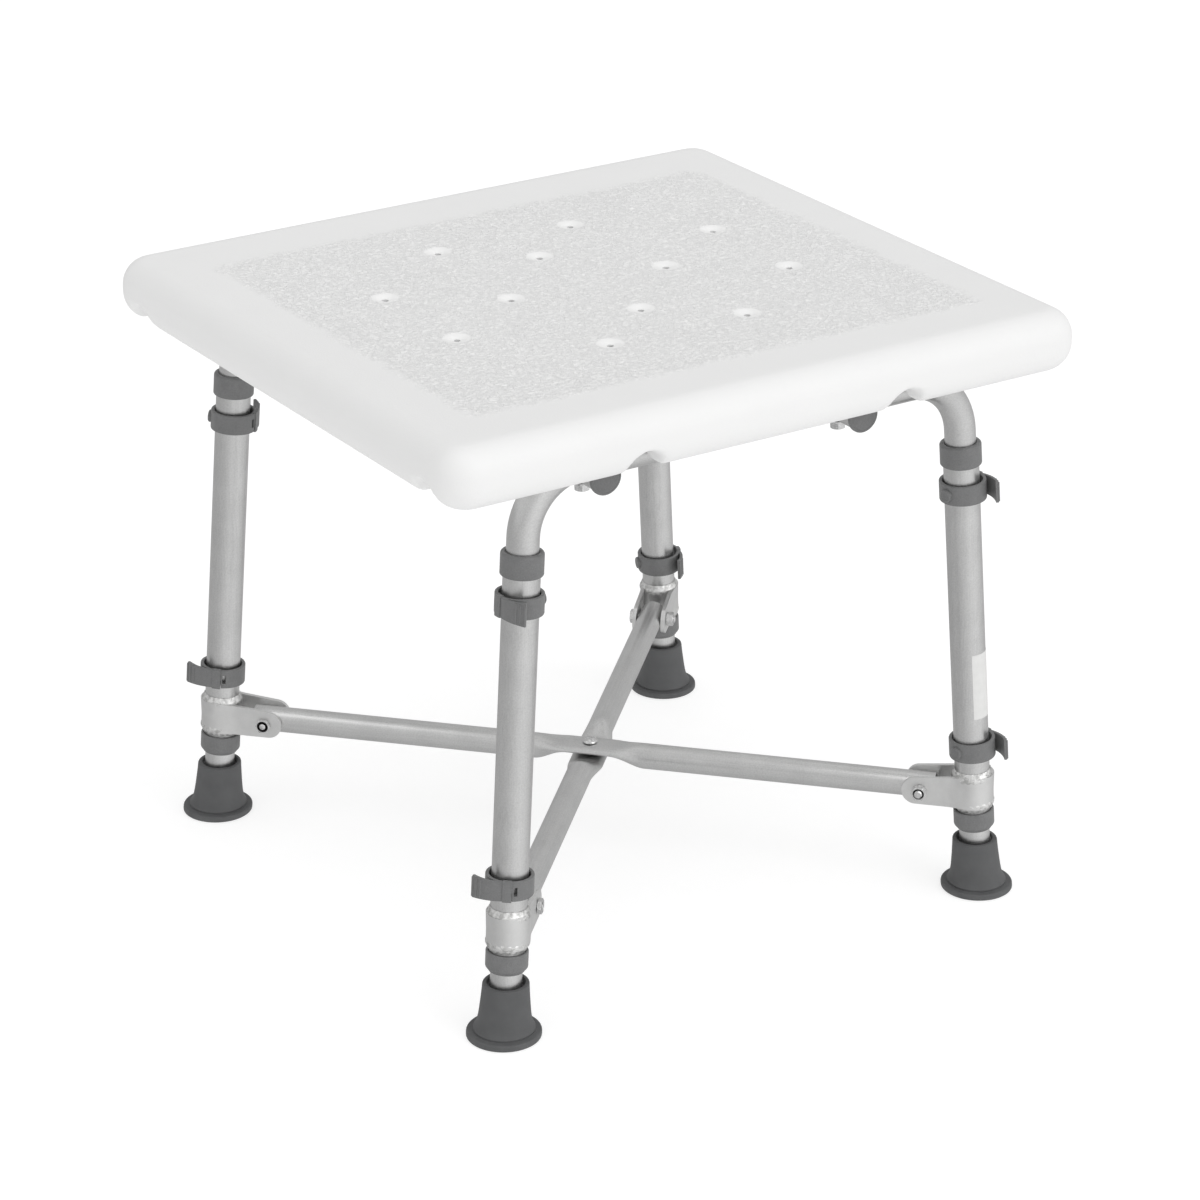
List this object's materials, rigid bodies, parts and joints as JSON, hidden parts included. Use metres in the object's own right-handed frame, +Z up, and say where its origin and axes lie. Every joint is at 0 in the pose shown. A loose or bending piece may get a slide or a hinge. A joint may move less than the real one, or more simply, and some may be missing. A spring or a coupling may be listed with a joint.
{
  "type": "shower stool",
  "caption": "Backless shower stool: drained moulded seat on tubular arches, pin-locked telescoping legs with rubber feet, and crossed braces.",
  "frame": {"origin": "on the floor under the middle of the seat, with the legs at their shortest", "axes": "+Z up, +X along the longer side of the seat, -Y the front"},
  "size_m": [0.514, 0.477, 0.446],
  "materials": {
    "seat_plastic": "near-white moulded polyethylene, semi-matte, with a leather-like grain on the middle of the top",
    "aluminium_tube": "satin anodised, faint drawn lines along the tube",
    "bracket_metal": "blasted and welded, slightly rough",
    "gray_plastic": "mid gray moulded plastic, fine texture",
    "foot_rubber": "gray moulded rubber, soft matte",
    "steel_fastener": "bright plated steel",
    "brass_insert": "plain machined brass"
  },
  "bodies": {
    "frame": {"brace_rivet": "steel_fastener", "front_arch": "aluminium_tube", "front_left_brace_bolt": "steel_fastener", "front_left_brace_nut": "steel_fastener", "front_left_bracket": "bracket_metal", "front_left_cross_bar_cap": "gray_plastic", "front_left_leg": "aluminium_tube", "front_left_lower_clip": "gray_plastic", "front_left_lower_collar": "gray_plastic", "front_left_seat_bolt": "steel_fastener", "front_left_seat_insert": "brass_insert", "front_left_upper_clip": "gray_plastic", "front_left_upper_collar": "gray_plastic", "front_right_brace_bolt": "steel_fastener", "front_right_brace_nut": "steel_fastener", "front_right_bracket": "bracket_metal", "front_right_cross_bar_cap": "gray_plastic", "front_right_leg": "aluminium_tube", "front_right_lower_clip": "gray_plastic", "front_right_lower_collar": "gray_plastic", "front_right_seat_bolt": "steel_fastener", "front_right_seat_insert": "brass_insert", "front_right_upper_clip": "gray_plastic", "front_right_upper_collar": "gray_plastic", "left_cross_bar": "aluminium_tube", "lower_brace": "aluminium_tube", "rear_arch": "aluminium_tube", "rear_left_brace_bolt": "steel_fastener", "rear_left_brace_nut": "steel_fastener", "rear_left_bracket": "bracket_metal", "rear_left_cross_bar_cap": "gray_plastic", "rear_left_leg": "aluminium_tube", "rear_left_lower_clip": "gray_plastic", "rear_left_lower_collar": "gray_plastic", "rear_left_seat_bolt": "steel_fastener", "rear_left_seat_insert": "brass_insert", "rear_left_upper_clip": "gray_plastic", "rear_left_upper_collar": "gray_plastic", "rear_right_brace_bolt": "steel_fastener", "rear_right_brace_nut": "steel_fastener", "rear_right_bracket": "bracket_metal", "rear_right_cross_bar_cap": "gray_plastic", "rear_right_leg": "aluminium_tube", "rear_right_lower_clip": "gray_plastic", "rear_right_lower_collar": "gray_plastic", "rear_right_seat_bolt": "steel_fastener", "rear_right_seat_insert": "brass_insert", "rear_right_upper_clip": "gray_plastic", "rear_right_upper_collar": "gray_plastic", "right_cross_bar": "aluminium_tube", "seat": "seat_plastic", "upper_brace": "aluminium_tube"},
    "front_left_extension": {"front_left_foot_tube": "aluminium_tube", "front_left_rubber_foot": "foot_rubber"},
    "rear_left_extension": {"rear_left_foot_tube": "aluminium_tube", "rear_left_rubber_foot": "foot_rubber"},
    "front_right_extension": {"front_right_foot_tube": "aluminium_tube", "front_right_rubber_foot": "foot_rubber"},
    "rear_right_extension": {"rear_right_foot_tube": "aluminium_tube", "rear_right_rubber_foot": "foot_rubber"}
  },
  "joints": [
    {"name": "front_left_height", "type": "slide", "parent": "frame", "child": "front_left_extension", "axis": [-0.0666, -0.0242, -0.9975], "range_m": [0, 0.1143], "deforming": ["front_left_lower_clip"]},
    {"name": "rear_left_height", "type": "slide", "parent": "frame", "child": "rear_left_extension", "axis": [-0.0666, 0.0242, -0.9975], "range_m": [0, 0.1143], "deforming": ["rear_left_lower_clip"]},
    {"name": "front_right_height", "type": "slide", "parent": "frame", "child": "front_right_extension", "axis": [0.0666, -0.0242, -0.9975], "range_m": [0, 0.1143], "deforming": ["front_right_lower_clip"]},
    {"name": "rear_right_height", "type": "slide", "parent": "frame", "child": "rear_right_extension", "axis": [0.0666, 0.0242, -0.9975], "range_m": [0, 0.1143], "deforming": ["rear_right_lower_clip"]}
  ]
}
